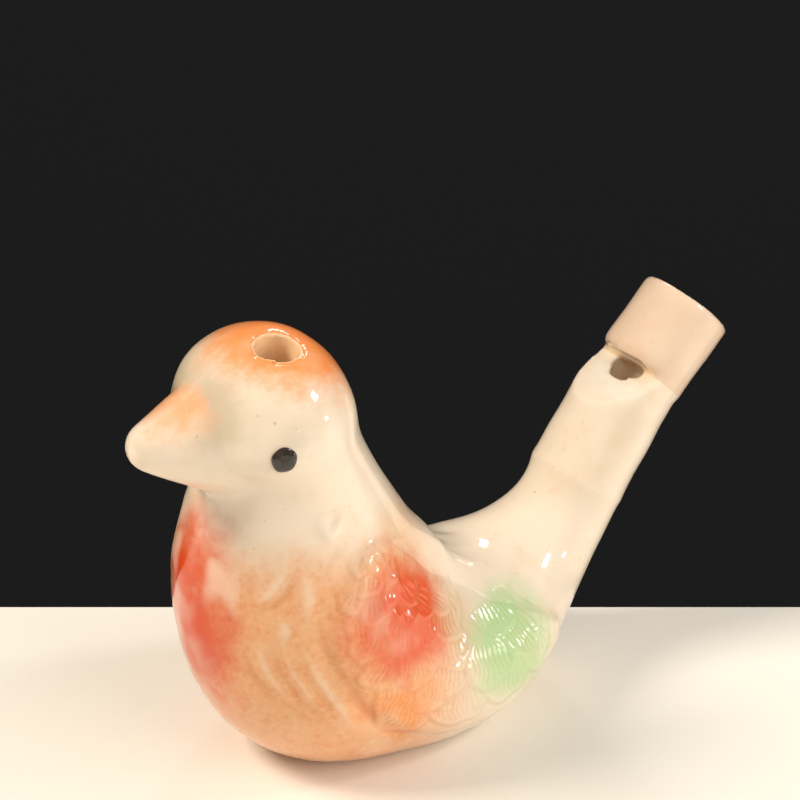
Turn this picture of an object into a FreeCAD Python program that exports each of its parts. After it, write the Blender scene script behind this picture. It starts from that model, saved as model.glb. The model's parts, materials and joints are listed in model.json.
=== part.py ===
"""Glazed ceramic water whistle in the shape of a small bird.

The bird faces -X, its tail leans back towards +X and its left side faces -Y. The origin is the middle
of the flat foot. Two pressed clay halves are closed along the middle with a seam of slip. A whistle
barrel is set in the tail end, with its spigot dipping into the water room, and a solid mouthpiece with
a flat windway is luted on top of it. Each eye is a drop of dark enamel.
"""
import FreeCAD, Part
import math
import os
import Sketcher
from FreeCAD import Placement, Rotation, Vector

SIZES = [
    # pressed body
    ("wall", 1.8, "thickness of the pressed clay"),
    ("floor_thickness", 2.2, "thickness over the flat foot"),
    ("seam_thickness", 0.4, "slip between the two halves"),
    ("head_x", -15.0, "middle of the head"),
    ("head_z", 39.7, "middle of the head above the table"),
    ("head_radius", 8.9, "head from middle to crown"),
    ("head_half_width", 10.2, "head from middle to cheek"),
    ("throat_front_x", -21.4, "front of the throat"),
    ("throat_back_x", -4.2, "nape behind the throat"),
    ("throat_z", 34.1, "height of the throat"),
    ("throat_half_width", 9.8, "half the width at the throat"),
    # the body fans round the hollow of the back
    ("saddle_x", 12.5, "centre of the hollow of the back"),
    ("saddle_z", 28.5, "centre of the hollow of the back above the table"),
    ("saddle_radius", 12.6, "radius of that hollow"),
    ("saddle_radius_tail", 10.0, "radius of that hollow where the tail rises"),
    ("nape_reach", 13.7, "saddle centre to the foot of the nape"),
    ("shoulder_reach", 35.6, "saddle centre to upper breast"),
    ("shoulder_half_width", 10.8, ""),
    ("breast_reach", 39.0, "saddle centre to breast"),
    ("breast_half_width", 13.0, ""),
    ("keel_reach", 40.2, "saddle centre to lower breast"),
    ("keel_half_width", 13.9, ""),
    ("belly_reach", 35.5, "saddle centre to belly, before the foot is cut flat"),
    ("belly_half_width", 13.8, ""),
    ("vent_reach", 31.3, "saddle centre to underside behind the belly"),
    ("vent_half_width", 12.8, ""),
    ("rump_reach", 26.6, "saddle centre to underside of the rump"),
    ("rump_half_width", 9.3, ""),
    ("root_reach", 23.2, "saddle centre to underside of the tail root"),
    ("root_half_width", 6.2, ""),
    # beak, filling hole and eyes
    ("beak_base_x", -16.8, "middle of the beak's wide end"),
    ("beak_base_z", 39.0, ""),
    ("beak_base_radius", 8.2, ""),
    ("beak_tip_x", -27.4, "middle of the rounded tip"),
    ("beak_tip_z", 40.0, ""),
    ("beak_tip_radius", 2.5, ""),
    ("hole_radius", 2.25, "filling hole in the crown"),
    ("hole_side_lean", 16.0, "degrees that the hole leans to the bird's left"),
    ("hole_back_lean", 4.0, "degrees that the hole leans back"),
    ("eye_radius", 1.25, "enamel dot"),
    ("eye_height", 0.4, "how far the dot stands proud"),
    ("eye_turn", 70.0, "degrees from the beak round to the eye"),
    ("eye_rise", 2.0, "degrees above the middle of the head"),
    # folded wings
    ("wing_relief", 0.5, "how far a wing stands proud"),
    ("wing_inner_y", 7.0, "a wing stays this far from the middle"),
    ("wing_front_x", -14.6, "front of the shoulder"),
    ("wing_front_z", 21.5, ""),
    ("wing_top_x", -9.0, "top of the shoulder"),
    ("wing_top_z", 28.0, ""),
    ("wing_back_x", 3.0, "upper edge over the flank"),
    ("wing_back_z", 18.0, ""),
    ("wing_tip_x", 15.5, "tip of the longest feather"),
    ("wing_tip_z", 8.5, ""),
    ("wing_bottom_x", -3.0, "lowest feathers"),
    ("wing_bottom_z", 4.2, ""),
    ("wing_breast_x", -11.5, "lower front edge"),
    ("wing_breast_z", 11.5, ""),
    # whistle barrel
    ("tail_lean", 36.0, "degrees that the barrel leans back from upright"),
    ("tail_length", 14.0, "body to mouthpiece along the barrel"),
    ("tail_root_radius", 5.5, ""),
    ("tail_top_radius", 5.3, ""),
    ("bore_radius", 2.4, "air column"),
    ("spigot_radius", 3.5, "part of the barrel inside the body"),
    ("spigot_length", 9.0, ""),
    ("spigot_clearance", 0.1, "round the spigot"),
    ("ramp_angle", 36.0, "degrees between the ramp and the barrel's axis"),
    ("ramp_depth", 4.3, "depth of the ramp under the mouthpiece"),
    # mouthpiece
    ("mouth_tilt", 45.5, "degrees that the mouthpiece leans back from upright"),
    ("mouth_radius", 5.3, ""),
    ("mouth_length", 9.0, ""),
    ("mouth_offset", 0.6, "mouthpiece axis behind the barrel's axis"),
    ("mouth_base_round", 0.8, ""),
    ("mouth_lip_round", 0.5, ""),
    ("windway_width", 5.0, ""),
    ("windway_height", 1.2, ""),
    # slip at the two joints of the barrel
    ("joint_slip_thickness", 0.4, ""),
    ("joint_slip_proud", 0.15, ""),
]

doc = FreeCAD.newDocument("bird_whistle")
sheet = doc.addObject("Spreadsheet::Sheet", "sizes")
for row, (alias, value, note) in enumerate(SIZES, start=1):
    sheet.set(f"A{row}", note or alias.replace("_", " "))
    sheet.set(f"B{row}", str(value))
    sheet.setAlias(f"B{row}", alias)
doc.recompute()

LEFT, RIGHT = -1, 1
ROOM = 60.0  # side of the tool blocks, larger than any piece


def size(alias):
    return float(sheet.get(alias))


def bind(feature, **expressions):
    """Bind a feature's properties to cells of the sheet."""
    for name, expression in expressions.items():
        feature.setExpression(name, expression)
    return feature


def primitive(kind, name, placement=Placement(), **expressions):
    feature = bind(doc.addObject(f"Part::{kind}", name), **expressions)
    feature.Placement = placement
    return feature


def block(name, placement, length, width, height):
    """A plain block used as a cutting tool."""
    feature = doc.addObject("Part::Box", name)
    feature.Length, feature.Width, feature.Height = length, width, height
    feature.Placement = placement
    return feature


def cut(name, base, tool):
    feature = doc.addObject("Part::Cut", name)
    feature.Base, feature.Tool = base, tool
    return feature


def common(name, base, tool):
    feature = doc.addObject("Part::Common", name)
    feature.Base, feature.Tool = base, tool
    return feature


def fuse(name, shapes):
    feature = doc.addObject("Part::MultiFuse", name)
    feature.Shapes = shapes
    return feature


def skin(name, shape):
    """A feature that holds a shape worked out from the sheet."""
    feature = doc.addObject("Part::Feature", name)
    feature.Shape = shape
    return feature


# ---------------------------------------------------------------------------------------------------
# Places worked out from the sheet
# ---------------------------------------------------------------------------------------------------

HEAD_CENTRE = Vector(size("head_x"), 0, size("head_z"))
SADDLE_CENTRE = Vector(size("saddle_x"), 0, size("saddle_z"))
TAIL_TURN = Rotation(Vector(0, 1, 0), size("tail_lean"))
TAIL_AXIS = TAIL_TURN.multVec(Vector(0, 0, 1))
TAIL_BACK = TAIL_TURN.multVec(Vector(1, 0, 0))
TAIL_FOOT = SADDLE_CENTRE + TAIL_BACK * (size("saddle_radius_tail") + size("tail_root_radius"))
TAIL_TOP = TAIL_FOOT + TAIL_AXIS * size("tail_length")
MOUTH_TURN = Rotation(Vector(0, 1, 0), size("mouth_tilt"))
MOUTH_AXIS = MOUTH_TURN.multVec(Vector(0, 0, 1))
MOUTH_BASE = TAIL_TOP + MOUTH_TURN.multVec(Vector(size("mouth_offset"), 0, 0))


def around_saddle(angle, radius):
    """Point of the middle plane at an angle and a distance from the saddle's centre."""
    turn = math.radians(angle)
    return SADDLE_CENTRE + Vector(math.cos(turn), 0, math.sin(turn)) * radius


# ---------------------------------------------------------------------------------------------------
# The body's skin: oval sections from the crown, down the neck and round the saddle to the tail
# ---------------------------------------------------------------------------------------------------

SECTION_POINTS = 16
CROWN_ANGLES = (6, 25, 45, 67, 90)
FIRST_FAN_ANGLE = 180
FAN_STEP = 20
FAN = ("shoulder", "breast", "keel", "belly", "vent", "rump", "root")
TAIL_ANGLE = 360 - size("tail_lean")


def oval(inner, outer, half_width):
    """Closed oval curve that crosses the middle plane at two points."""
    middle = (inner + outer) * 0.5
    reach = (outer - inner) * 0.5
    points = []
    for step in range(SECTION_POINTS):
        turn = 2 * math.pi * step / SECTION_POINTS
        points.append(middle + reach * math.cos(turn) + Vector(0, half_width * math.sin(turn), 0))
    curve = Part.BSplineCurve()
    curve.interpolate(Points=points, PeriodicFlag=True, Parameters=list(range(SECTION_POINTS + 1)))
    return curve


def saddle_radius(angle):
    """Radius of the hollow of the back: even over the back, tighter where the tail rises."""
    if angle == FIRST_FAN_ANGLE:
        return size("nape_reach")
    share = (angle - FIRST_FAN_ANGLE) / (TAIL_ANGLE - FIRST_FAN_ANGLE)
    return size("saddle_radius") - (size("saddle_radius") - size("saddle_radius_tail")) * share ** 3


def body_skin(growth, overrun=0.0):
    """Solid body whose skin stands outside the real one by growth, or inside it where negative."""
    sections = []
    radius = size("head_radius") + growth
    half_width = size("head_half_width") + growth
    for angle in CROWN_ANGLES:
        turn = math.radians(angle)
        middle = HEAD_CENTRE + Vector(0, 0, radius * math.cos(turn))
        reach = Vector(radius * math.sin(turn), 0, 0)
        sections.append(oval(middle + reach, middle - reach, half_width * math.sin(turn)))
    throat_back = Vector(size("throat_back_x") + growth, 0, size("throat_z"))
    throat_front = Vector(size("throat_front_x") - growth, 0, size("throat_z"))
    sections.append(oval(throat_back, throat_front, size("throat_half_width") + growth))
    for step, name in enumerate(FAN):
        angle = FIRST_FAN_ANGLE + FAN_STEP * step
        inner = around_saddle(angle, saddle_radius(angle) - growth)
        outer = around_saddle(angle, size(name + "_reach") + growth)
        sections.append(oval(inner, outer, size(name + "_half_width") + growth))
    end_radius = size("tail_root_radius") + growth
    for travel in (0.0, overrun) if overrun else (0.0,):
        middle = TAIL_FOOT + TAIL_AXIS * travel
        sections.append(oval(middle - TAIL_BACK * end_radius, middle + TAIL_BACK * end_radius, end_radius))
    surface = Part.BSplineSurface()
    surface.buildFromNSections(sections)
    caps = [Part.Face(Part.Wire([end.toShape()])) for end in (sections[0], sections[-1])]
    shell = Part.makeShell([surface.toShape()] + caps)
    shell.sewShape()
    return Part.makeSolid(shell)


outer_skin = skin("outer_skin", body_skin(0))
water_room = skin("water_room", body_skin(-size("wall"), overrun=2.0))

# ---------------------------------------------------------------------------------------------------
# Beak: a cone with a ball at its tip
# ---------------------------------------------------------------------------------------------------

BEAK_BASE = Vector(size("beak_base_x"), 0, size("beak_base_z"))
BEAK_TIP = Vector(size("beak_tip_x"), 0, size("beak_tip_z"))
beak_turn = Rotation(Vector(0, 0, 1), BEAK_TIP - BEAK_BASE)
beak_length = (BEAK_TIP - BEAK_BASE).Length
# The cone's side touches the ball at its tip, so its slope comes from the two radii and the length.
beak_diagonal = math.hypot(beak_length, size("beak_base_radius"))
beak_slope = math.acos(size("beak_tip_radius") / beak_diagonal) - math.atan2(beak_length, size("beak_base_radius"))
touch_radius = size("beak_tip_radius") * math.cos(beak_slope)
touch_travel = size("beak_tip_radius") * math.sin(beak_slope)
beak_cone = primitive("Cone", "beak_cone", Placement(BEAK_BASE, beak_turn), Radius1="sizes.beak_base_radius")
beak_cone.Radius2 = touch_radius
beak_cone.Height = beak_length + touch_travel
beak_tip = primitive("Sphere", "beak_tip", Placement(BEAK_TIP, Rotation()), Radius="sizes.beak_tip_radius")

# ---------------------------------------------------------------------------------------------------
# Folded wings: a low pad on each flank
# ---------------------------------------------------------------------------------------------------


def wing_outline(side):
    """Closed outline of a folded wing: round shoulder in front, feathers to a point behind."""
    points = []
    for corner in ("front", "top", "back", "tip", "bottom", "breast"):
        x, z = size(f"wing_{corner}_x"), size(f"wing_{corner}_z")
        points.append(Vector(x, side * size("wing_inner_y"), z))
    curve = Part.BSplineCurve()
    curve.interpolate(Points=points, PeriodicFlag=True)
    return Part.Face(Part.Wire([curve.toShape()]))


flank = Vector(0, size("keel_half_width") * 2, 0)
grown_skin = skin("grown_skin", body_skin(size("wing_relief")))
left_prism = skin("left_wing_prism", wing_outline(LEFT).extrude(flank * LEFT))
right_prism = skin("right_wing_prism", wing_outline(RIGHT).extrude(flank * RIGHT))
left_wing = common("left_wing", grown_skin, left_prism)
right_wing = common("right_wing", grown_skin, right_prism)

# ---------------------------------------------------------------------------------------------------
# Pressed body: skin, beak and wings, hollow, with a flat foot, a filling hole and a socket for the barrel
# ---------------------------------------------------------------------------------------------------

under_table = block("under_table", Placement(Vector(-ROOM, -ROOM / 2, -ROOM), Rotation()), 2 * ROOM, ROOM, ROOM)
under_floor = block("under_floor", Placement(), 2 * ROOM, ROOM, ROOM)
under_floor.Placement = Placement(Vector(-ROOM, -ROOM / 2, size("floor_thickness") - ROOM), Rotation())
hole_direction = Vector(math.tan(math.radians(size("hole_back_lean"))),
                        -math.tan(math.radians(size("hole_side_lean"))), 1)
hole_turn = Rotation(Vector(0, 0, 1), hole_direction)
filling_hole = primitive("Cylinder", "filling_hole", Placement(HEAD_CENTRE, hole_turn),
                         Radius="sizes.hole_radius", Height="2 * sizes.head_half_width")
socket_foot = TAIL_FOOT - TAIL_AXIS * (size("spigot_length") + size("spigot_clearance"))
socket = primitive("Cylinder", "barrel_socket", Placement(socket_foot, TAIL_TURN),
                   Radius="sizes.spigot_radius + sizes.spigot_clearance",
                   Height="sizes.spigot_length + sizes.tail_length")

solid_body = fuse("solid_body", [outer_skin, beak_cone, beak_tip, left_wing, right_wing])
room_over_floor = cut("room_over_floor", water_room, under_floor)
hollow_body = cut("hollow_body", solid_body, room_over_floor)
standing_body = cut("standing_body", hollow_body, under_table)
holed_body = cut("holed_body", standing_body, filling_hole)
whole_body = cut("whole_body", holed_body, socket)

# ---------------------------------------------------------------------------------------------------
# The two halves and the seam of slip between them
# ---------------------------------------------------------------------------------------------------

SEAM_FACE = size("seam_thickness") / 2
left_side = block("left_side", Placement(Vector(-ROOM, -ROOM - SEAM_FACE, -ROOM), Rotation()),
                  2 * ROOM, ROOM, 3 * ROOM)
right_side = block("right_side", Placement(Vector(-ROOM, SEAM_FACE, -ROOM), Rotation()),
                   2 * ROOM, ROOM, 3 * ROOM)
middle_slab = block("middle_slab", Placement(Vector(-ROOM, -SEAM_FACE, -ROOM), Rotation()),
                    2 * ROOM, size("seam_thickness"), 3 * ROOM)
left_half = common("left_body_half", whole_body, left_side)
right_half = common("right_body_half", whole_body, right_side)
body_seam = common("body_seam_slip", whole_body, middle_slab)

# ---------------------------------------------------------------------------------------------------
# Enamel eyes: the cap of a ball that is mostly inside the head
# ---------------------------------------------------------------------------------------------------


def eye(name, side):
    turn = math.radians(size("eye_turn"))
    rise = math.radians(size("eye_rise"))
    direction = Vector(-math.cos(turn) * math.cos(rise), side * math.sin(turn) * math.cos(rise), math.sin(rise))
    along = direction.x / size("head_radius")
    across = direction.y / size("head_half_width")
    upward = direction.z / size("head_radius")
    on_skin = HEAD_CENTRE + direction * (1 / math.sqrt(along ** 2 + across ** 2 + upward ** 2))
    ball_radius = (size("eye_radius") ** 2 + size("eye_height") ** 2) / (2 * size("eye_height"))
    normal = Vector(along / size("head_radius"), across / size("head_half_width"), upward / size("head_radius"))
    normal.normalize()
    centre = on_skin - normal * (ball_radius - size("eye_height"))
    ball = primitive("Sphere", name + "_ball", Placement(centre, Rotation()))
    ball.Radius = ball_radius
    return cut(name, ball, outer_skin)


left_eye = eye("left_eye", LEFT)
right_eye = eye("right_eye", RIGHT)

# ---------------------------------------------------------------------------------------------------
# Whistle barrel: tapered tube with a spigot below, a bore, and a ramp cut across its front at the top
# ---------------------------------------------------------------------------------------------------

SLIP = size("joint_slip_thickness")
OVERLENGTH = 3.0  # left on the barrel's top before the mouthpiece's face trims it
barrel_height = size("tail_length") + OVERLENGTH
barrel_cone = primitive("Cone", "barrel_cone", Placement(TAIL_FOOT + TAIL_AXIS * SLIP, TAIL_TURN),
                        Radius1="sizes.tail_root_radius", Radius2="sizes.tail_top_radius")
barrel_cone.Height = barrel_height
spigot = primitive("Cylinder", "barrel_spigot", Placement(TAIL_FOOT - TAIL_AXIS * size("spigot_length"), TAIL_TURN),
                   Radius="sizes.spigot_radius", Height="sizes.spigot_length + sizes.joint_slip_thickness * 2")
bore = primitive("Cylinder", "barrel_bore", Placement(TAIL_FOOT - TAIL_AXIS * ROOM / 2, TAIL_TURN),
                 Radius="sizes.bore_radius")
bore.Height = ROOM

ramp_length = size("ramp_depth") / math.tan(math.radians(size("ramp_angle")))
ramp_start = TAIL_TOP - TAIL_BACK * size("tail_top_radius") - TAIL_AXIS * ramp_length
ramp_turn = Rotation(Vector(0, 1, 0), size("tail_lean") + size("ramp_angle"))
ramp_corner = ramp_start + ramp_turn.multVec(Vector(-ROOM / 2, -ROOM / 2, -ROOM / 8))
ramp_block = block("ramp_block", Placement(ramp_corner, ramp_turn), ROOM / 2, ROOM, ROOM / 2)
mouth_seat_corner = MOUTH_BASE - MOUTH_AXIS * SLIP + MOUTH_TURN.multVec(Vector(-ROOM / 2, -ROOM / 2, 0))
above_seat = block("above_seat", Placement(mouth_seat_corner, MOUTH_TURN), ROOM, ROOM, ROOM / 2)

barrel_outside = fuse("barrel_outside", [barrel_cone, spigot])
barrel_bored = cut("barrel_bored", barrel_outside, bore)
barrel_ramped = cut("barrel_ramped", barrel_bored, ramp_block)
tail_tube = cut("tail_tube", barrel_ramped, above_seat)

# ---------------------------------------------------------------------------------------------------
# Slip at the barrel's two joints
# ---------------------------------------------------------------------------------------------------

lower_ring = primitive("Cylinder", "tail_slip_disc", Placement(TAIL_FOOT, TAIL_TURN),
                       Radius="sizes.tail_root_radius + sizes.joint_slip_proud",
                       Height="sizes.joint_slip_thickness")
spigot_room = primitive("Cylinder", "tail_slip_room", Placement(TAIL_FOOT - TAIL_AXIS, TAIL_TURN),
                        Radius="sizes.spigot_radius")
spigot_room.Height = 2 + SLIP
tail_slip = cut("tail_joint_slip", lower_ring, spigot_room)

upper_disc = primitive("Cylinder", "mouth_slip_disc", Placement(MOUTH_BASE - MOUTH_AXIS * SLIP, MOUTH_TURN),
                       Radius="sizes.tail_top_radius + sizes.joint_slip_proud",
                       Height="sizes.joint_slip_thickness")
upper_ring = cut("mouth_slip_ring", upper_disc, bore)
mouth_slip = cut("mouthpiece_joint_slip", upper_ring, ramp_block)

# ---------------------------------------------------------------------------------------------------
# Mouthpiece: a short solid cylinder with a flat windway that aims at the edge of the ramp
# ---------------------------------------------------------------------------------------------------

mouthpiece = doc.addObject("PartDesign::Body", "mouthpiece")


def sketch_on_base(name):
    sketch = mouthpiece.newObject("Sketcher::SketchObject", name)
    for feature in mouthpiece.Origin.OriginFeatures:
        if feature.Role == "XY_Plane":
            sketch.AttachmentSupport = (feature, [""])
    sketch.MapMode = "FlatFace"
    return sketch


def rim_edges(shape, height):
    """Names of the round edges that lie at a height of the mouthpiece."""
    names = []
    for index, edge in enumerate(shape.Edges, start=1):
        box = edge.BoundBox
        if box.XLength > 1 and abs(box.ZMin - height) < 1e-4 and abs(box.ZMax - height) < 1e-4:
            names.append(f"Edge{index}")
    return names


end_sketch = sketch_on_base("mouthpiece_end")
end_sketch.addGeometry(Part.Circle(Vector(), Vector(0, 0, 1), size("mouth_radius")))
end_sketch.addConstraint(Sketcher.Constraint("Coincident", 0, 3, -1, 1))
end_sketch.addConstraint(Sketcher.Constraint("Radius", 0, size("mouth_radius")))
end_sketch.renameConstraint(1, "radius")
end_sketch.setExpression("Constraints.radius", "sizes.mouth_radius")
mouth_pad = mouthpiece.newObject("PartDesign::Pad", "mouthpiece_pad")
mouth_pad.Profile = end_sketch
mouth_pad.setExpression("Length", "sizes.mouth_length")
doc.recompute()

base_fillet = mouthpiece.newObject("PartDesign::Fillet", "mouthpiece_base_round")
base_fillet.Base = (mouth_pad, rim_edges(mouth_pad.Shape, 0))
base_fillet.setExpression("Radius", "sizes.mouth_base_round")
doc.recompute()
lip_fillet = mouthpiece.newObject("PartDesign::Fillet", "mouthpiece_lip_round")
lip_fillet.Base = (base_fillet, rim_edges(base_fillet.Shape, size("mouth_length")))
lip_fillet.setExpression("Radius", "sizes.mouth_lip_round")
doc.recompute()

# The windway's sketch: a rectangle whose long sides lie across the bird.
windway_sketch = sketch_on_base("windway_section")
near = -size("mouth_offset") - size("bore_radius") + size("windway_height") / 2
far = near - size("windway_height")
side = size("windway_width") / 2
corners = [Vector(far, -side, 0), Vector(near, -side, 0), Vector(near, side, 0), Vector(far, side, 0)]
for index, corner in enumerate(corners):
    windway_sketch.addGeometry(Part.LineSegment(corner, corners[(index + 1) % len(corners)]))
for index in range(len(corners)):
    following = (index + 1) % len(corners)
    windway_sketch.addConstraint(Sketcher.Constraint("Coincident", index, 2, following, 1))
for index, direction in ((0, "Horizontal"), (2, "Horizontal"), (3, "Vertical")):
    windway_sketch.addConstraint(Sketcher.Constraint(direction, index))
windway_sketch.addConstraint(Sketcher.Constraint("Symmetric", 0, 2, 1, 2, -1))
WINDWAY_SIZES = [
    ("width", Sketcher.Constraint("DistanceY", 1, 1, 1, 2, 2 * side), "sizes.windway_width"),
    ("height", Sketcher.Constraint("DistanceX", 0, 1, 0, 2, near - far), "sizes.windway_height"),
    ("offset", Sketcher.Constraint("DistanceX", 1, 1, -1, 1, -near),
     "sizes.mouth_offset + sizes.bore_radius - sizes.windway_height / 2"),
]
for name, constraint, expression in WINDWAY_SIZES:
    index = windway_sketch.addConstraint(constraint)
    windway_sketch.renameConstraint(index, name)
    windway_sketch.setExpression("Constraints." + name, expression)
windway = mouthpiece.newObject("PartDesign::Pocket", "windway")
windway.Profile = windway_sketch
windway.Midplane = True
windway.setExpression("Length", "3 * sizes.mouth_length")
mouthpiece.Tip = windway
mouthpiece.Placement = Placement(MOUTH_BASE, MOUTH_TURN)

# ---------------------------------------------------------------------------------------------------
# Check every object and write the pieces
# ---------------------------------------------------------------------------------------------------

PIECES = {
    "left_body_half": left_half,
    "right_body_half": right_half,
    "body_seam_slip": body_seam,
    "left_eye": left_eye,
    "right_eye": right_eye,
    "tail_tube": tail_tube,
    "tail_joint_slip": tail_slip,
    "mouthpiece": mouthpiece,
    "mouthpiece_joint_slip": mouth_slip,
}
for label, feature in PIECES.items():
    feature.Label = label
doc.recompute()
for feature in doc.Objects:
    faults = {"Invalid", "Error"} & set(feature.State)
    if faults:
        raise RuntimeError(f"{feature.Name} failed: {faults}")
if windway.Shape.Volume >= lip_fillet.Shape.Volume:
    raise RuntimeError("the windway cut nothing")
for label, feature in PIECES.items():
    if feature.Shape.isNull() or not feature.Shape.isValid():
        raise RuntimeError(f"{label} has no valid shape")

os.makedirs("parts", exist_ok=True)
for label, feature in PIECES.items():
    feature.Shape.exportStep(f"parts/{label}.step")
    box = feature.Shape.BoundBox
    print(f"{label}: {len(feature.Shape.Solids)} solid, {feature.Shape.Volume:.1f} mm3,"
          f" x {box.XMin:.1f} to {box.XMax:.1f}, y {box.YMin:.1f} to {box.YMax:.1f},"
          f" z {box.ZMin:.1f} to {box.ZMax:.1f}")
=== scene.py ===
import json
import math

import bmesh
import bpy
import numpy as np
from mathutils import Matrix, Vector


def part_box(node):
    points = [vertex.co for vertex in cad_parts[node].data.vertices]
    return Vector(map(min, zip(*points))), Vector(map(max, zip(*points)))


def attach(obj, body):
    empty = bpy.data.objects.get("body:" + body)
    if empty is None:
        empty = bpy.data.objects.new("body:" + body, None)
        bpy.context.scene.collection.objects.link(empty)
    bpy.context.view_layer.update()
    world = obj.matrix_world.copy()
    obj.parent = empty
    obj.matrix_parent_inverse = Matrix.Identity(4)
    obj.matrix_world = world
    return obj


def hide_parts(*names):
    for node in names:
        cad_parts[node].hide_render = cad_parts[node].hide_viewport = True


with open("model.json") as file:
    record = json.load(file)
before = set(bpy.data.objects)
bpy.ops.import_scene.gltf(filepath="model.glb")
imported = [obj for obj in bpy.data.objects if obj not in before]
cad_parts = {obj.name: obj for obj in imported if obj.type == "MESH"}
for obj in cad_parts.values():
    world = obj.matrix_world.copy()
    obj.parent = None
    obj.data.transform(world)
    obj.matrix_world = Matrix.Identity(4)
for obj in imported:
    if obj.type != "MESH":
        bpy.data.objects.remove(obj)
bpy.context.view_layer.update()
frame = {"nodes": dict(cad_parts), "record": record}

MM = 0.001
nodes = frame["nodes"]

# =====================================================================================================
# The fired bird, two pressed halves, the slip in their seam and the barrel luted to the rump.
# White earthenware, one wall about 1.8 mm thick. Glaze runs over all of it, so it is modelled as one
# softened skin first, and cut at the joints further down.
# =====================================================================================================

CLAY_GRAIN = 0.37 * MM           # finest step that the softened skin keeps
SOFTENING = 17                  # passes that round off the skin where the clay was wiped

clay = bmesh.new()
for name in ("left_body_half", "right_body_half", "body_seam_slip", "tail_joint_slip", "tail_tube",
             "mouthpiece", "mouthpiece_joint_slip"):
    clay.from_mesh(nodes[name].data)
bmesh.ops.remove_doubles(clay, verts=clay.verts, dist=0.001 * MM)


def evaluated(bm, *modifiers, weights=None):
    """A new bmesh: bm after modifiers, each a type with its settings. weights go in a vertex group named hold."""
    mesh = bpy.data.meshes.new("clay")
    bm.to_mesh(mesh)
    bm.free()
    obj = bpy.data.objects.new("clay", mesh)
    bpy.context.collection.objects.link(obj)
    if weights is not None:
        group = obj.vertex_groups.new(name="hold")
        for number, weight in enumerate(weights):
            group.add([number], float(weight), "REPLACE")
    for kind, settings in modifiers:
        modifier = obj.modifiers.new(kind, kind)
        for key, value in settings.items():
            setattr(modifier, key, value)
    done = bpy.data.meshes.new_from_object(obj.evaluated_get(bpy.context.evaluated_depsgraph_get()))
    bpy.data.objects.remove(obj)
    bpy.data.meshes.remove(mesh)
    result = bmesh.new()
    result.from_mesh(done)
    bpy.data.meshes.remove(done)
    return result


def places(bm):
    """Every vertex's place, in mm."""
    return np.array([v.co[:] for v in bm.verts]) / MM


def ease(value, start, stop):
    """0 before start, 1 after stop, smooth between."""
    share = np.clip((value - start) / (stop - start), 0, 1)
    return share * share * (3 - 2 * share)


# A stick pushed through the crown drags a short collar of clay inwards with it.
hole = next(mount for mount in frame["record"]["mounts"] if mount["name"] == "filling_hole")
hole_middle = Vector(hole["pos_m"])
HOLE_RADIUS = 2.25 * MM
COLLAR_RADIUS = 3.1 * MM
COLLAR_LENGTH = 4.6 * MM
COLLAR_TAPER = 0.4 * MM
HEAD_MIDDLE = Vector((-15, 0, 39.7)) * MM
hole_axis = (hole_middle - HEAD_MIDDLE).normalized()
collar = bmesh.new()
profile = [collar.verts.new((radius, 0, depth)) for radius, depth in
           ((HOLE_RADIUS, 0), (COLLAR_RADIUS, 0), (COLLAR_RADIUS - COLLAR_TAPER, -COLLAR_LENGTH),
            (HOLE_RADIUS, -COLLAR_LENGTH))]
rings = [collar.edges.new((profile[i], profile[(i + 1) % 4])) for i in range(4)]
bmesh.ops.spin(collar, geom=profile + rings, axis=(0, 0, 1), cent=(0, 0, 0), angle=2 * math.pi, steps=48,
               use_merge=True)
bmesh.ops.remove_doubles(collar, verts=collar.verts, dist=0.001 * MM)
bmesh.ops.recalc_face_normals(collar, faces=collar.faces)
bmesh.ops.transform(collar, verts=collar.verts,
                    matrix=Matrix.Translation(hole_middle) @ hole_axis.to_track_quat("Z", "Y").to_matrix().to_4x4())
collar_mesh = bpy.data.meshes.new("collar")
collar.to_mesh(collar_mesh)
clay.from_mesh(collar_mesh)

skin = evaluated(clay, ("REMESH", {"mode": "VOXEL", "voxel_size": CLAY_GRAIN}))

# The barrel leans back from the rump. Its mouth end, cut to a ramp, keeps crisper edges than the body.
slip_low, slip_high = (Vector(corner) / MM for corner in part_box("tail_joint_slip"))
barrel_seat = (slip_low + slip_high) / 2
BARREL_LEAN = math.radians(36)
barrel_axis = np.array([math.sin(BARREL_LEAN), 0, math.cos(BARREL_LEAN)])
at = places(skin)
along_barrel = (at - np.array(barrel_seat)) @ barrel_axis
near_hole = np.linalg.norm(at - np.array(hole_middle) / MM, axis=1)
MOUTH_JOINT = (33.69, 0, 30.29)
MOUTH_AXIS = (0.713, 0, 0.701)
near_luting = np.abs((at - np.array(MOUTH_JOINT)) @ np.array(MOUTH_AXIS))
softness = 1 - 0.8 * ease(along_barrel, 4, 7) * ease(near_luting, 0.3, 2.0) - 0.3 * (1 - ease(near_hole, 3.0, 5.0))
softness = np.clip(softness * ease(at[:, 2], 0.0, 0.8), 0, 1)
skin = evaluated(skin, ("SMOOTH", {"factor": 0.5, "iterations": SOFTENING, "vertex_group": "hold"}),
                 weights=softness)

# The nape runs into the back in one easy hollow, wiped with a wet thumb.
NAPE_TOP, NAPE_FOOT = np.array((-6.5, 0, 41.0)), np.array((3.0, 0, 20.5))
NAPE_SOFTENING = 112            # passes
at = places(skin)
nape_run = NAPE_FOOT - NAPE_TOP
along_nape = np.clip((at - NAPE_TOP) @ nape_run / (nape_run @ nape_run), 0, 1)
from_nape = np.linalg.norm(at - NAPE_TOP - along_nape[:, None] * nape_run, axis=1)
skin = evaluated(skin, ("SMOOTH", {"factor": 0.5, "iterations": NAPE_SOFTENING, "vertex_group": "hold"}),
                 weights=1 - ease(from_nape, 4.0 + 4.0 * along_nape, 8.0 + 4.0 * along_nape))

# ---- where the outside of the skin is, and where wings, breast and hole need finer clay ----

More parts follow.
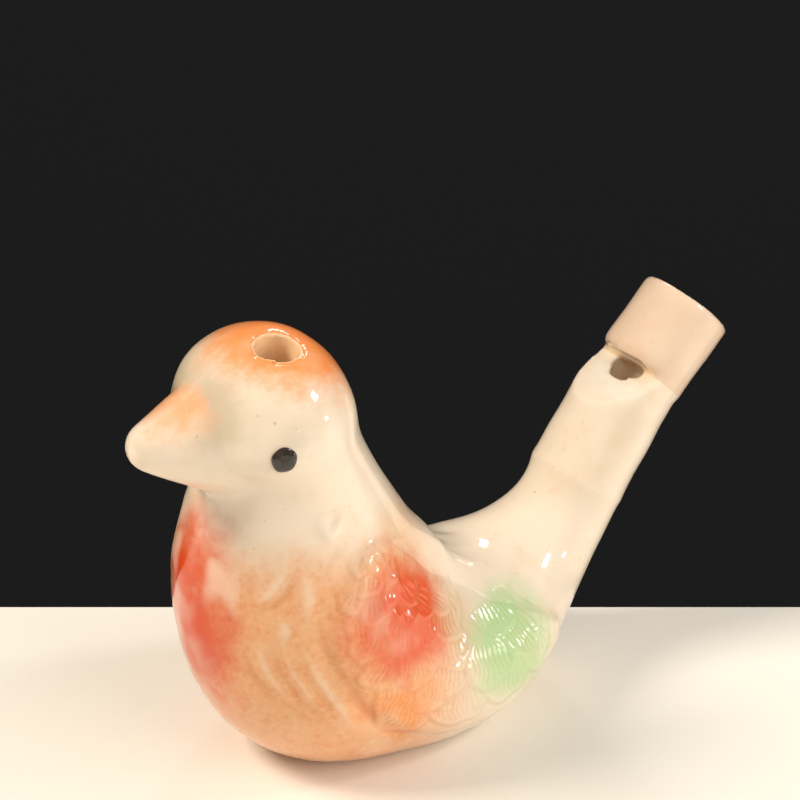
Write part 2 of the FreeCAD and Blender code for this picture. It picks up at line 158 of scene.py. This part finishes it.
# The hollow bird's middle line: head, neck, breast, belly, rump. The outside faces away from it.
MIDDLE_LINE = np.array([(-15, 0, 39.7), (-12, 0, 31), (-8, 0, 20), (4, 0, 12.5), (19, 0, 15), (36, 0, 35)])


def outside(place, normal):
    """How far each normal points away from the bird's middle line: above 0 on the outside."""
    best = np.full(len(place), 1e9)
    away = np.zeros(len(place))
    for start, stop in zip(MIDDLE_LINE[:-1], MIDDLE_LINE[1:]):
        run = stop - start
        share = np.clip((place - start) @ run / (run @ run), 0, 1)
        gap = place - (start + share[:, None] * run)
        length = np.linalg.norm(gap, axis=1)
        nearer = length < best
        best[nearer] = length[nearer]
        away[nearer] = ((gap * normal).sum(axis=1) / np.maximum(length, 1e-6))[nearer]
    return away


def tooled(x, z):
    """Above 0 in the region of wing and breast that carries pressed feathers."""
    wing = 1 - np.hypot((x + 1.5) / 16.5, (z - 14 + 0.45 * (x + 1.5)) / 13.5)
    breast = 1 - np.hypot((x + 20) / 7.5, (z - 20.5) / 11.5)
    return np.maximum(wing, breast)


skin.normal_update()
at = places(skin)
normals = np.array([v.normal[:] for v in skin.verts])
fine = (outside(at, normals) > 0.2) & (tooled(at[:, 0], at[:, 2]) > 0) & (np.abs(at[:, 1]) > 1.5)
skin.verts.ensure_lookup_table()
fine |= (np.linalg.norm(at - np.array(hole_middle) / MM, axis=1) < 4.6)
fine_edges = [edge for edge in skin.edges if all(fine[v.index] for v in edge.verts)]
bmesh.ops.subdivide_edges(skin, edges=fine_edges, cuts=1, use_grid_fill=True)
bmesh.ops.smooth_vert(skin, verts=[v for v in skin.verts if v.co.x < 18 * MM and v.co.z > 0.8 * MM], factor=0.5,
                      use_axis_x=True, use_axis_y=True, use_axis_z=True)

# ---- pressed feathers: each is a lobe with a raised rim and fine barbs, laid like tiles from the tips up ----

# Tip x and z, half width, length and lean (degrees that the tip points back), in mm.
FEATHERS = [
    (-8.2, 7.0, 4.3, 9.0, -16), (-0.4, 5.0, 3.9, 8.0, 2), (6.4, 5.6, 3.5, 8.0, 12), (11.6, 7.4, 2.6, 7.0, 30),
    (-4.7, 8.5, 3.9, 8.0, -8), (3.7, 8.1, 4.0, 7.5, 6), (9.8, 9.6, 3.0, 7.0, 22),
    (-11.2, 13.2, 2.5, 5.0, -28), (-6.6, 12.2, 2.7, 6.0, -14), (-1.3, 11.6, 2.8, 6.0, 0), (6.6, 12.2, 3.0, 6.0, 18),
    (-13.5, 17.6, 2.8, 6.0, -34), (-8.6, 16.6, 2.5, 5.0, -20), (-3.9, 15.4, 2.4, 5.0, 4), (0.9, 14.8, 2.5, 5.5, 24),
    (-11.2, 20.6, 1.9, 4.0, -24), (-7.5, 19.3, 2.0, 4.0, -10), (-3.9, 18.2, 1.8, 3.8, 16), (-0.4, 17.2, 1.6, 4.0, 38),
    (-13.6, 22.6, 1.5, 3.6, -40), (-10.6, 23.2, 1.5, 3.2, -8), (-7.6, 22.2, 1.4, 3.4, 10), (-4.9, 20.8, 1.3, 3.4, 34),
    (-12.2, 25.6, 1.2, 3.0, -22), (-9.6, 25.3, 1.1, 3.0, 14), (-7.0, 24.0, 1.1, 3.0, 32),
]
FEATHER_LIFT = 0.11
RIM_LIFT = 0.045
BARB_DEPTH = 0.075
BARB_PITCH = 0.78


def press_feathers(x, z):
    """Height of the pressed feathers over the wing's plain pad, and how deep the glaze pools, at x and z in mm."""
    x = x + 0.35 * np.sin(z * 0.85 + 1.0) + 0.18 * np.sin(z * 2.1 + x * 0.9)
    z = z + 0.3 * np.sin(x * 0.75 + 0.5) + 0.18 * np.sin(x * 1.9 + z * 0.7 + 2.0)
    height = np.zeros(len(x))
    pool = np.zeros(len(x))
    for number, (tip_x, tip_z, half_width, length, lean) in enumerate(FEATHERS):
        turn = math.radians(lean)
        back = np.array([-math.sin(turn), math.cos(turn)])
        inward = (x - tip_x) * back[0] + (z - tip_z) * back[1]
        sideways = (x - tip_x) * back[1] - (z - tip_z) * back[0]
        sideways = sideways + 0.16 * half_width * np.sin(inward / length * 2.2 + number)
        round_end = half_width * 1.05
        narrowing = half_width * (1 - 0.3 * np.clip((inward - round_end) / length, 0, 1))
        radius = np.hypot(sideways / narrowing, np.clip((round_end - inward) / round_end, 0, None))
        gap = (radius - 1) * half_width
        root = 1 - ease(inward, length * 0.75, length * 1.05)
        inside = (1 - ease(gap, -0.3, 0.12)) * root
        fan = np.arctan2(sideways, np.maximum(length * 1.5 - inward, 0.3))
        strands = round(2 * half_width / BARB_PITCH) / (2 * math.atan2(half_width, length * 1.5))
        wander = 0.5 * np.sin(inward * 1.3 + number * 2)
        barbs = 0.5 + 0.5 * np.cos(2 * math.pi * fan * strands + wander)
        barbs = barbs ** 2 * (1 - ease(gap, -0.95, -0.55)) * ease(inward, 0.4, 1.2)
        barbs *= 1 - ease(inward, length * 0.55, length * 0.85)
        near_tip = 1 - ease(inward, length * 0.5, length * 0.8)
        rim = np.exp(-(((gap + 0.38) / 0.24) ** 2)) * near_tip
        tile = FEATHER_LIFT * (1 - 0.75 * ease(inward, 0, length)) + RIM_LIFT * rim - BARB_DEPTH * barbs
        height = height * (1 - inside) + tile * inside
        moat = 0.5 * np.exp(-((np.clip(gap, 0, None) / 0.35) ** 2)) * (1 - inside) * root * near_tip
        pool = np.maximum(pool * (1 - inside) + inside * (0.55 * barbs - 0.5 * rim), moat)
    return height, pool


# Strokes tooled in the wet clay: points of each in x and z, half width, and depth (below 0 is raised), in mm.
STROKES = [
    # the groove that frames the wing in front and below
    ([(-15.9, 23.4), (-16.4, 20.8), (-15.5, 17.8), (-13.7, 14.2), (-12.4, 11.4), (-10.6, 8.9), (-7.6, 6.2),
      (-4, 4.9)], 0.5, 0.3),
    ([(-17.6, 18.9), (-16.7, 15.8), (-15.1, 12.6), (-13.2, 9.2)], 0.6, -0.16),
    # a single feather mark on the breast: two raised barbs and the hollows beside them
    ([(-21.35, 28.4), (-21.9, 26.4), (-22.15, 24.6)], 0.42, -0.16),
    ([(-20.95, 28.2), (-21.35, 26.2), (-21.5, 24.0)], 0.36, 0.17),
    ([(-18.3, 29.0), (-18.9, 27.0), (-20.1, 25.2), (-21.3, 23.9)], 0.45, -0.17),
    ([(-17.7, 27.4), (-18.6, 25.4), (-19.9, 24.0), (-21.2, 23.2)], 0.36, 0.14),
    ([(-23.0, 27.4), (-23.4, 25.0), (-24.1, 22.6)], 0.4, -0.13),
    ([(-22.9, 27.2), (-22.7, 24.8), (-22.7, 22.2)], 0.4, -0.13),
    # plumes of the lower breast, sweeping back under the wing
    ([(-22.4, 19.2), (-21.7, 16.2), (-20.2, 13.0)], 0.45, 0.16),
    ([(-21.4, 19.6), (-20.9, 16.8), (-19.3, 13.4)], 0.5, -0.12),
    ([(-20.4, 19.2), (-19.7, 16.4), (-18.1, 13.2), (-16.4, 10.8)], 0.4, 0.17),
    ([(-19.4, 19.3), (-18.9, 17.0), (-17.4, 13.6), (-15.8, 11.2)], 0.5, -0.14),
    ([(-18.8, 19.0), (-18.0, 16.6), (-16.4, 13.2), (-14.6, 10.2)], 0.36, 0.15),
    ([(-19.3, 22.6), (-19.2, 21.4), (-19.6, 20.4)], 0.5, -0.12),
    ([(-16.9, 27.6), (-16.8, 24.8), (-17.4, 22.4)], 0.7, -0.1),
    # a pinched ridge where the neck meets the shoulder
    ([(-14.8, 31.9), (-14.3, 30.9), (-13.8, 30.3)], 0.45, -0.6),
    ([(-13.8, 30.3), (-13.1, 31.0), (-12.4, 32.0)], 0.4, -0.5),
]


def press_strokes(x, z):
    """Height and glaze pool of the tooled strokes."""
    height = np.zeros(len(x))
    pool = np.zeros(len(x))
    for points, half_width, depth in STROKES:
        nearest = np.full(len(x), 1e9)
        spot = np.zeros(len(x))
        for step, (start, stop) in enumerate(zip(points[:-1], points[1:])):
            run = np.subtract(stop, start)
            share = np.clip(((x - start[0]) * run[0] + (z - start[1]) * run[1]) / (run @ run), 0, 1)
            gap = np.hypot(x - start[0] - share * run[0], z - start[1] - share * run[1])
            nearer = gap < nearest
            nearest[nearer] = gap[nearer]
            spot[nearer] = (step + share[nearer]) / (len(points) - 1)
        swell = 0.35 + 0.65 * np.sin(math.pi * np.clip(spot * 0.9 + 0.05, 0, 1))
        mark = np.exp(-((nearest / (1.25 * half_width)) ** 2)) * swell
        height -= 0.6 * depth * mark
        pool += mark * (0.6 if depth > 0 else -0.4)
    return height, pool


# Broad dents left by fingers, and swellings (depth below 0): x, |y|, z, radius and depth in mm.
DENTS = [
    (-21.6, 5.4, 41.0, 2.2, 0.30), (-19.2, 8.6, 43.0, 2.0, 0.16), (-12.5, 10.2, 31.5, 4.0, 0.25),
    (-22.5, 4.0, 33.5, 2.6, 0.18), (8.0, 4.0, 18.0, 3.0, 0.2), (19.0, 5.0, 13.0, 3.5, 0.2),
    (-18.5, 9.5, 30.5, 2.0, -0.15), (14.5, 8.5, 12.0, 2.5, -0.12),
    # the foot of the nape, wiped full
    (3.0, 0, 22.6, 4.8, -0.8), (3.8, 5.0, 21.0, 4.8, -1.3),
    # lumps of the shoulder feathers
    (-9.6, 12.5, 22.0, 1.1, -0.28), (-6.3, 13.0, 19.6, 1.1, -0.28), (-8.2, 13.0, 20.8, 0.8, -0.22),
]


def press(place, normal):
    """How far each place rises, in mm, and how deep the glaze lies there."""
    x, y, z = place.T
    on = ease(outside(place, normal), 0.15, 0.5)
    flank = on * ease(np.abs(y), 1.2, 3.0)
    pad = flank * ease(tooled(x, z), 0.02, 0.16)
    feathers, feather_pool = press_feathers(x, z)
    strokes, stroke_pool = press_strokes(x, z)
    front = ease(x + 0.25 * (z - 14), -15.6, -14.2) * ease(np.abs(y), 5.5, 8.0) * ease(np.abs(normal[:, 1]), 0.3, 0.6)
    rise = pad * (feathers * front - 0.10) + flank * strokes
    pool = pad * feather_pool * front + flank * stroke_pool
    for dent_x, dent_y, dent_z, radius, depth in DENTS:
        away = (x - dent_x) ** 2 + (np.abs(y) - dent_y) ** 2 + (z - dent_z) ** 2
        rise -= on * depth * np.exp(-away / radius ** 2)
    from_hole = np.linalg.norm(place - np.array(hole_middle) / MM, axis=1)
    rise -= 0.3 * on * np.exp(-(((from_hole - 2.6) / 1.4) ** 2))
    uneven = np.sin(x * 0.83 + 1.1) * np.sin(y * 0.71 + z * 0.46) + 0.6 * np.sin(z * 1.13 + x * 0.37 + 2.0)
    rise += 0.035 * uneven * on * ease(z, 0.5, 3)
    return rise, pool, 1 - on


skin.normal_update()
at = places(skin)
normals = np.array([v.normal[:] for v in skin.verts])
rise, pool, inner = press(at, normals)
pool_layer = skin.verts.layers.float.new("pool")
bare_layer = skin.verts.layers.float.new("bare")
for vert, lift, glaze_depth, bare, normal in zip(skin.verts, rise, pool, inner, normals):
    vert.co += Vector(normal * (lift * MM))
    vert[pool_layer] = glaze_depth
    vert[bare_layer] = bare
bmesh.ops.smooth_vert(skin, verts=[v for v in skin.verts if abs(v[pool_layer]) > 0.02], factor=0.3,
                      use_axis_x=True, use_axis_y=True, use_axis_z=True)

# ---- cut apart at the seam and at the barrel's joint, each cut closed with a flat wall ----

seam_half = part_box("body_seam_slip")[1][1]
JOINT_SLIP = 0.4 * MM
joint_foot = Vector((25.04, 0, 19.39)) * MM
joint_axis = Vector(barrel_axis)


def part_of(bm, *planes):
    """A closed copy of bm behind every plane, each a point, the direction that is thrown away, and where along
    the bird its cut starts."""
    piece = bm.copy()
    for point, direction, start in planes:
        reached = [v for v in piece.verts if v.co.x > start]
        among = set(reached)
        reached += [e for e in piece.edges if all(v in among for v in e.verts)]
        reached += [f for f in piece.faces if all(v in among for v in f.verts)]
        cut = bmesh.ops.bisect_plane(piece, geom=reached, dist=0.0005 * MM, plane_co=point, plane_no=direction,
                                     clear_outer=True)
        rim = [item for item in cut["geom_cut"] if isinstance(item, bmesh.types.BMEdge)]
        filled = bmesh.ops.triangle_fill(piece, edges=rim, use_beauty=False, normal=direction)
        for item in filled["geom"]:
            if isinstance(item, bmesh.types.BMFace):
                item.smooth = True
        for edge in rim:
            if edge.is_valid:
                edge.smooth = False
    return piece


def finished(bm, name, replaced, slot, *materials):
    """bm as a piece that rides with the bird in place of the CAD solids replaced."""
    mesh = bpy.data.meshes.new(name)
    bm.to_mesh(mesh)
    bm.free()
    for material in materials:
        mesh.materials.append(material)
    obj = bpy.data.objects.new(name, mesh)
    bpy.context.collection.objects.link(obj)
    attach(obj, "root")
    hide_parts(*replaced)
    return obj


for face in skin.faces:
    face.smooth = True
EVERYWHERE = -100 * MM          # a cut that starts here takes in the whole bird
TAIL_START = 10 * MM            # a cut that starts here leaves the head alone
rump_only = (Vector((TAIL_START, 0, 0)), Vector((-1, 0, 0)), EVERYWHERE)
before_joint = (joint_foot, joint_axis, TAIL_START)


def facing(point, direction):
    return point, direction, EVERYWHERE


seam_left, seam_right, leftward = Vector((0, -seam_half, 0)), Vector((0, seam_half, 0)), Vector((0, -1, 0))
mouth_base = Vector(MOUTH_JOINT) * MM
mouth_axis = Vector(MOUTH_AXIS).normalized()
luting_foot = mouth_base - mouth_axis * JOINT_SLIP
barrel_foot = joint_foot + joint_axis * JOINT_SLIP
left_skin = part_of(skin, facing(seam_left, -leftward), before_joint)
right_skin = part_of(skin, facing(seam_right, leftward), before_joint)
seam_skin = part_of(skin, facing(seam_left, leftward), facing(seam_right, -leftward), before_joint)
joint_skin = part_of(skin, rump_only, facing(joint_foot, -joint_axis), facing(barrel_foot, joint_axis))
barrel_skin = part_of(skin, rump_only, facing(barrel_foot, -joint_axis), facing(luting_foot, mouth_axis))
luting_skin = part_of(skin, rump_only, facing(luting_foot, -mouth_axis), facing(mouth_base, mouth_axis))
mouth_skin = part_of(skin, rump_only, facing(mouth_base, -mouth_axis))
skin.free()


class Glaze:
    """A node material whose colour is built up in layers, as glaze is sprayed and brushed on, with some layers of
    painted shade.
    """

    def __init__(self, name, base, roughness=0.3, coat=1.0):
        self.material = bpy.data.materials.new(name)
        self.material.use_nodes = True
        self.tree = self.material.node_tree
        self.shader = self.tree.nodes["Principled BSDF"]
        self.shader.inputs["Roughness"].default_value = roughness
        self.shader.inputs["Coat Weight"].default_value = coat
        self.shader.inputs["Coat Roughness"].default_value = 0.03
        self.shader.inputs["Coat IOR"].default_value = 1.52
        self.shader.inputs["Specular IOR Level"].default_value = 0.15
        place = self.node("ShaderNodeTexCoord").outputs["Object"]
        self.place = place
        split = self.node("ShaderNodeSeparateXYZ", {0: place})
        side = self.maths("ABSOLUTE", split.outputs["Y"])
        folded = self.node("ShaderNodeCombineXYZ", {0: split.outputs["X"], 1: side, 2: split.outputs["Z"]})
        drift = self.noise(170, 3, 0.6, colour=True)
        shift = self.node("ShaderNodeVectorMath", {0: drift, 1: (0.5, 0.5, 0.5)}, operation="SUBTRACT")
        scaled = self.node("ShaderNodeVectorMath", {0: shift.outputs[0], 3: 0.006}, operation="SCALE")
        moved = self.node("ShaderNodeVectorMath", {0: folded.outputs[0], 1: scaled.outputs[0]}, operation="ADD")
        self.mirrored = moved.outputs[0]
        fine = self.noise(1500, 4, 0.7)
        self.mottle = self.maths("MULTIPLY_ADD", fine, 0.5, self.maths("MULTIPLY", self.noise(420, 5, 0.65), 0.5))
        self.colour = None
        self.base = base

    def node(self, kind, inputs=None, **settings):
        node = self.tree.nodes.new(kind)
        for key, value in settings.items():
            setattr(node, key, value)
        for key, value in (inputs or {}).items():
            if isinstance(value, bpy.types.NodeSocket):
                self.tree.links.new(value, node.inputs[key])
            else:
                node.inputs[key].default_value = value
        return node

    def maths(self, operation, *values, clamp=False):
        return self.node("ShaderNodeMath", dict(enumerate(values)), operation=operation, use_clamp=clamp).outputs[0]

    def noise(self, scale, detail, roughness, colour=False):
        node = self.node("ShaderNodeTexNoise", {"Vector": self.place, "Scale": scale, "Detail": detail,
                                                "Roughness": roughness})
        return node.outputs["Color" if colour else "Fac"]

    def ramp(self, value, start, stop, low=0.0, high=1.0):
        node = self.node("ShaderNodeMapRange", {"Value": value, "From Min": start, "From Max": stop,
                                                "To Min": low, "To Max": high}, interpolation_type="SMOOTHSTEP")
        return node.outputs["Result"]

    def over(self, colour, amount):
        """Lays a colour over what is there, as strongly as amount says."""
        under = self.colour or (*self.base, 1)
        mix = self.node("ShaderNodeMix", data_type="RGBA", blend_type="MIX")
        for socket, value in ((mix.inputs[0], amount), (mix.inputs[6], under), (mix.inputs[7], (*colour, 1))):
            if isinstance(value, bpy.types.NodeSocket):
                self.tree.links.new(value, socket)
            else:
                socket.default_value = value
        self.colour = mix.outputs[2]

    def spray_and_shade(self, colour, centre, reach, strength, soft=0.55, patchy=0.25, turn=(0, 0, 0)):
        """A soft patch, used both for sprayed glaze and for painted shade: colour round centre, as wide as reach
        (both in mm), fading out over soft of it.
        """
        mapped = self.node("ShaderNodeMapping", {"Vector": self.mirrored, "Location": [c * MM for c in centre],
                                                 "Rotation": [math.radians(a) for a in turn],
                                                 "Scale": [r * MM for r in reach]}, vector_type="TEXTURE")
        far = self.node("ShaderNodeVectorMath", {0: mapped.outputs[0]}, operation="LENGTH").outputs["Value"]
        patch = self.maths("MULTIPLY_ADD", self.mottle, -2 * patchy, patchy)
        edge = self.maths("ADD", far, patch)
        self.over(colour, self.ramp(edge, 1.0, 1.0 - soft, 0.0, strength))

    def done(self):
        self.tree.links.new(self.colour, self.shader.inputs["Base Color"])
        return self.material


CREAM = (0.90, 0.755, 0.595)
ORANGE = (0.95, 0.25, 0.02)
PEACH = (0.93, 0.50, 0.24)
BREAST = (0.82, 0.34, 0.10)
CORAL = (0.77, 0.115, 0.04)
GREEN = (0.46, 0.68, 0.32)
UMBER = (0.60, 0.16, 0.02)
PALE = (0.93, 0.80, 0.62)
PINK_CLAY = (1.0, 0.74, 0.46)


def speckle(glaze, strength=0.4):
    """Mottling and iron speckles in the glaze."""
    glaze.over((0.80, 0.55, 0.32), glaze.ramp(glaze.noise(240, 4, 0.6), 0.5, 0.78, 0.0, 0.30))
    glaze.over(PALE, glaze.ramp(glaze.noise(150, 2, 0.5), 0.52, 0.75, 0.0, 0.25))
    glaze.over((0.42, 0.17, 0.06), glaze.ramp(glaze.noise(1900, 2, 0.5), 0.69, 0.80, 0.0, strength))


def pooled(glaze):
    """Glaze that is paler on ridges and darker where it pools, from the depth kept on the clay."""
    depth = glaze.node("ShaderNodeAttribute", attribute_name="pool").outputs["Fac"]
    deep = glaze.ramp(depth, 0.1, 1.0, 0.0, 0.62)
    warm = glaze.maths("MULTIPLY", deep, glaze.front)
    glaze.over(UMBER, warm)
    cool = glaze.maths("MULTIPLY", deep, glaze.maths("SUBTRACT", 0.5, glaze.front), clamp=True)
    glaze.over((0.30, 0.40, 0.20), cool)
    glaze.over(PALE, glaze.ramp(depth, -0.08, -0.5, 0.0, 0.45))


def unglazed(glaze, strength=0.85):
    """The hollow inside, where no glaze was sprayed and the clay fired pinkish."""
    bare = glaze.node("ShaderNodeAttribute", attribute_name="bare").outputs["Fac"]
    glaze.over(PINK_CLAY, glaze.ramp(bare, 0.45, 0.95, 0.0, strength))


body_glaze = Glaze("glazed_body", CREAM, coat=0.8)
along = body_glaze.node("ShaderNodeSeparateXYZ", {0: body_glaze.mirrored})
# warm tone over belly and breast, fading out at neck and rump
forward = body_glaze.ramp(along.outputs["X"], 0.004, -0.009)
low = body_glaze.ramp(along.outputs["Z"], 0.0315, 0.0245)
body_glaze.front = body_glaze.ramp(along.outputs["X"], 0.006, -0.004)
warm_belly = body_glaze.maths("MULTIPLY", forward, low)
body_glaze.over(BREAST, body_glaze.maths("MULTIPLY", warm_belly, 0.8))
grain = body_glaze.ramp(body_glaze.mottle, 0.46, 0.64, 0.0, 0.42)
body_glaze.over((0.70, 0.20, 0.035), body_glaze.maths("MULTIPLY", grain, warm_belly))
thin = body_glaze.ramp(body_glaze.mottle, 0.47, 0.36, 0.0, 0.28)
body_glaze.over((0.92, 0.62, 0.36), body_glaze.maths("MULTIPLY", thin, warm_belly))
body_glaze.spray_and_shade((0.70, 0.062, 0.0), (-27.0, 0, 20.5), (9.6, 10.5, 18.5), 1.0, soft=0.6, patchy=0.12)
body_glaze.spray_and_shade(ORANGE, (-11.0, 0, 48.8), (12.5, 12.0, 8.8), 1.0, soft=0.55, patchy=0.3)
body_glaze.spray_and_shade((0.93, 0.17, 0.0), (-10.0, 0, 49.5), (9.5, 10.5, 6.0), 0.95, soft=0.7, patchy=0.45)
# painted shade: greyish browns in the hollow between beak and brow and round the eye, where shade falls
body_glaze.spray_and_shade((0.56, 0.47, 0.32), (-22.6, 4.4, 42.8), (4.2, 4.4, 4.2), 0.6, soft=0.9, patchy=0.1)
body_glaze.spray_and_shade((0.60, 0.52, 0.38), (-21.6, 2.6, 44.6), (3.8, 4.0, 3.4), 0.75, soft=0.9, patchy=0.1)
body_glaze.spray_and_shade((0.66, 0.58, 0.42), (-17.0, 9.0, 42.0), (3.4, 3.0, 2.2), 0.5, soft=0.9, patchy=0.1)
body_glaze.spray_and_shade(PEACH, (-12.5, 0, 48), (15.0, 14.0, 11.0), 0.35, soft=0.8)
body_glaze.spray_and_shade((0.94, 0.40, 0.15), (-24.2, 1.2, 42.6), (4.6, 4.0, 3.6), 0.85, soft=0.8, patchy=0.35)
body_glaze.spray_and_shade(ORANGE, (-9, 14, 10.5), (7.0, 9.0, 5.5), 0.45, soft=0.8)
body_glaze.spray_and_shade(CORAL, (-6.8, 13, 20), (9.8, 9.0, 8.4), 1.0, soft=0.65, patchy=0.15, turn=(0, 28, 0))
body_glaze.spray_and_shade((0.62, 0.47, 0.24), (0.8, 12, 15), (5.5, 8.0, 8.0), 0.55, soft=0.9)
body_glaze.spray_and_shade(GREEN, (7.4, 11.8, 11.2), (7.6, 8.0, 7.8), 0.95, soft=0.6, patchy=0.12, turn=(0, 32, 0))
body_glaze.spray_and_shade((0.70, 0.70, 0.42), (8, 11.5, 8.5), (9.0, 8.0, 7.0), 0.35, soft=0.8)
speckle(body_glaze)
pooled(body_glaze)
unglazed(body_glaze)
glazed_body = body_glaze.done()

finished(left_skin, "left_body", ["left_body_half"], "glazed_body", glazed_body)
finished(right_skin, "right_body", ["right_body_half"], "glazed_body", glazed_body)
finished(seam_skin, "seam", ["body_seam_slip"], "glazed_body", glazed_body)
finished(joint_skin, "barrel_joint", ["tail_joint_slip"], "glazed_body", glazed_body)

# =====================================================================================================
# The barrel of the whistle, a tapered tube that is the bird's tail, thrown off the hump and luted on.
# Cream glaze, with painted shade as a browner band along its middle and under the mouthpiece.
# =====================================================================================================

tail_glaze = Glaze("glazed_tail", CREAM)
# painted shade and reflection of the dark room: a tan band down the middle of each side of the barrel, up under the
# mouthpiece
tail_glaze.spray_and_shade((0.72, 0.50, 0.32), (26.5, 6.5, 25.5), (4.5, 4.5, 9.0), 0.45, soft=0.9, turn=(0, 36, 0))
tail_glaze.spray_and_shade((0.98, 0.92, 0.80), (30.5, 0, 29.5), (4.0, 6.0, 4.0), 0.8, soft=0.7)
speckle(tail_glaze, 0.35)
unglazed(tail_glaze, 0.1)
glazed_tail = tail_glaze.done()
finished(barrel_skin, "tail_barrel", ["tail_tube"], "glazed_tail", glazed_tail)

# =====================================================================================================
# The mouthpiece, a short round plug with a flat windway through it, luted across the barrel's top.
# The same cream glaze, its edges softened by it.
# =====================================================================================================

mouth_glaze = Glaze("glazed_mouthpiece", (0.82, 0.60, 0.44))
speckle(mouth_glaze, 0.35)
unglazed(mouth_glaze)
glazed_mouthpiece = mouth_glaze.done()
finished(mouth_skin, "mouthpiece_plug", ["mouthpiece"], "glazed_mouthpiece", glazed_mouthpiece)
finished(luting_skin, "mouthpiece_luting", ["mouthpiece_joint_slip"], "glazed_mouthpiece", glazed_mouthpiece)

# =====================================================================================================
# The eyes, two drops of dark enamel painted over the glaze and fired once more.
# =====================================================================================================

enamel = Glaze("eye_enamel", (0.022, 0.015, 0.011), roughness=0.1)
enamel.over((0.05, 0.034, 0.024), enamel.ramp(enamel.noise(900, 3, 0.6), 0.45, 0.7, 0.0, 0.8))
eye_enamel = enamel.done()
EYE_TURN, EYE_RISE = math.radians(70), math.radians(2)
EYE_WIDTH, EYE_HEIGHT, EYE_SWELL, EYE_SUNK = 1.22 * MM, 1.32 * MM, 0.46 * MM, 0.05 * MM
for name, side in (("left_eye", -1), ("right_eye", 1)):
    low, high = (Vector(corner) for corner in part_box(name))
    outwards = Vector((-math.cos(EYE_TURN), side * math.sin(EYE_TURN), math.tan(EYE_RISE))).normalized()
    drop = bmesh.new()
    bmesh.ops.create_uvsphere(drop, u_segments=64, v_segments=32, radius=1)
    for vert in drop.verts:
        around = math.atan2(vert.co.y, vert.co.x)
        vert.co *= 1 + 0.025 * math.sin(2 * around + 1) + 0.018 * math.sin(5 * around)
    bmesh.ops.scale(drop, verts=drop.verts, vec=(EYE_WIDTH, EYE_HEIGHT, EYE_SWELL))
    stand = outwards.to_track_quat("Z", "Y").to_matrix().to_4x4()
    seat = (low + high) / 2 - outwards * EYE_SUNK
    bmesh.ops.transform(drop, verts=drop.verts, matrix=Matrix.Translation(seat) @ stand)
    for face in drop.faces:
        face.smooth = True
    finished(drop, name + "_drop", [name], "eye_enamel", eye_enamel)

# =====================================================================================================
# The stage: a pale table that ends behind the bird, a near-black sheet beyond it as painted shade for the unlit room,
# soft lights and the camera.
# =====================================================================================================

sight = Vector((0.5736, 0.8192, 0))
across = Vector((0.8192, -0.5736, 0))


def stage_sheet(name, corners, colour, roughness):
    """A flat stage piece through four corners."""
    sheet = bmesh.new()
    sheet.faces.new([sheet.verts.new(corner) for corner in corners])
    mesh = bpy.data.meshes.new(name)
    sheet.to_mesh(mesh)
    sheet.free()
    obj = bpy.data.objects.new(name, mesh)
    bpy.context.collection.objects.link(obj)
    material = bpy.data.materials.new(name)
    material.use_nodes = True
    shader = material.node_tree.nodes["Principled BSDF"]
    shader.inputs["Base Color"].default_value = (*colour, 1)
    shader.inputs["Roughness"].default_value = roughness
    mesh.materials.append(material)
    return obj


table_edge = sight * 0.0178
stage_sheet("table_top", [table_edge - across * 1.5, table_edge - across * 1.5 - sight * 3,
                          table_edge + across * 1.5 - sight * 3, table_edge + across * 1.5], (0.96, 0.92, 0.84), 0.5)
# painted shade: a near-black sheet stands in for the unlit room beyond the table
backdrop_foot = sight * 1.2 - Vector((0, 0, 1.5))
stage_sheet("painted_shade_backdrop", [backdrop_foot - across * 4, backdrop_foot + across * 4, backdrop_foot + across * 4 + Vector((0, 0, 3)),
                          backdrop_foot - across * 4 + Vector((0, 0, 3))], (0.013, 0.0145, 0.018), 0.9)

world = bpy.data.worlds.new("room")
world.use_nodes = True
world.node_tree.nodes["Background"].inputs["Color"].default_value = (1.0, 0.95, 0.89, 1)
world.node_tree.nodes["Background"].inputs["Strength"].default_value = 0.30
bpy.context.scene.world = world


def lamp(name, direction, distance, size, power, colour, reflected=True):
    """A square area light that looks at the bird from direction."""
    light = bpy.data.lights.new(name, "AREA")
    light.shape = "SQUARE"
    light.size = size
    light.energy = power
    light.color = colour
    obj = bpy.data.objects.new(name, light)
    obj.visible_glossy = reflected
    toward = Vector(direction).normalized()
    middle = Vector((0, 0, 0.022))
    turned = toward.to_track_quat("Z", "Y").to_matrix().to_4x4()
    obj.matrix_world = Matrix.Translation(middle + toward * distance) @ turned
    bpy.context.collection.objects.link(obj)


lamp("key", (-0.62, 0.36, 0.80), 0.6, 0.2, 2.9, (1.0, 0.92, 0.80), reflected=False)
lamp("side_fill", (0.35, -0.9, 0.55), 0.8, 0.6, 3.2, (1.0, 0.96, 0.89), reflected=False)
lamp("window", (0.62, -0.45, 0.63), 0.7, 0.12, 1.0, (1.0, 0.99, 0.96))
lamp("low_window", (0.74, -0.66, 0.14), 0.7, 0.07, 0.4, (1.0, 0.99, 0.96))
lamp("back_lamp", (0.58, 0.58, 0.57), 0.7, 0.10, 0.35, (1.0, 0.98, 0.94))

camera_data = bpy.data.cameras.new("camera")
camera_data.lens = 101.25
camera_data.sensor_width = 36
camera_data.clip_start = 0.01
camera = bpy.data.objects.new("camera", camera_data)
camera.location = (-0.114472, -0.165415, 0.143621)
camera.rotation_euler = (math.radians(62), 0, math.radians(-35))
bpy.context.collection.objects.link(camera)
bpy.context.scene.camera = camera
bpy.context.scene.view_settings.view_transform = "Standard"
